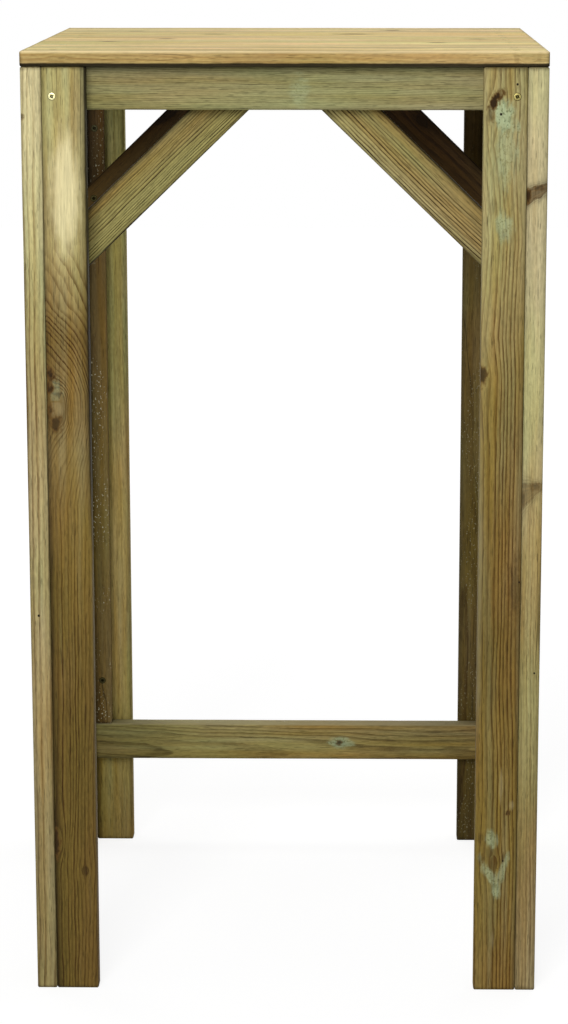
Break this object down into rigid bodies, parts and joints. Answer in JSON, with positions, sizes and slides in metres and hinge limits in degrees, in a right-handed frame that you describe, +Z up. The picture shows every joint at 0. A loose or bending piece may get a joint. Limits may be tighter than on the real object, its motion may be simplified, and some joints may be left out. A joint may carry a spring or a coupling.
{
  "type": "bar table",
  "caption": "Square bar table of sawn softwood with a slatted top, angle legs of two boards, corner braces and one low back rail.",
  "frame": {"origin": "on the floor under the middle of the top", "axes": "+X to the right, +Y to the back where the low rail is, +Z up"},
  "size_m": [0.6, 0.6, 1.12],
  "materials": {
    "top_wood": "planed softwood, pale gold with a green tint, rounded arrises",
    "leg_wood": "pressure-treated softwood, olive to brown, upright grain with knots",
    "rail_wood": "pressure-treated softwood, grey-green, grain along the rail",
    "brace_wood": "pressure-treated softwood, tan and olive lines along the brace",
    "screw_steel": "yellow-passivated zinc plate"
  },
  "bodies": {
    "root": {"top_board_1": "top_wood", "top_board_2": "top_wood", "top_board_3": "top_wood", "top_board_4": "top_wood", "top_board_5": "top_wood", "leg_front_left_side_board": "leg_wood", "leg_front_left_face_board": "leg_wood", "leg_front_left_corner_batten": "leg_wood", "leg_front_right_side_board": "leg_wood", "leg_front_right_face_board": "leg_wood", "leg_front_right_corner_batten": "leg_wood", "leg_back_left_side_board": "leg_wood", "leg_back_left_face_board": "leg_wood", "leg_back_left_corner_batten": "leg_wood", "leg_back_right_side_board": "leg_wood", "leg_back_right_face_board": "leg_wood", "leg_back_right_corner_batten": "leg_wood", "apron_front": "rail_wood", "apron_back": "rail_wood", "apron_left": "rail_wood", "apron_right": "rail_wood", "brace_front_left": "brace_wood", "brace_front_right": "brace_wood", "brace_back_left": "brace_wood", "brace_back_right": "brace_wood", "stretcher_back": "rail_wood", "top_screws": "screw_steel", "face_board_screws": "screw_steel", "side_board_screws": "screw_steel", "apron_screws": "screw_steel", "batten_screws": "screw_steel", "brace_screws": "screw_steel", "stretcher_screws": "screw_steel"}
  },
  "joints": []
}
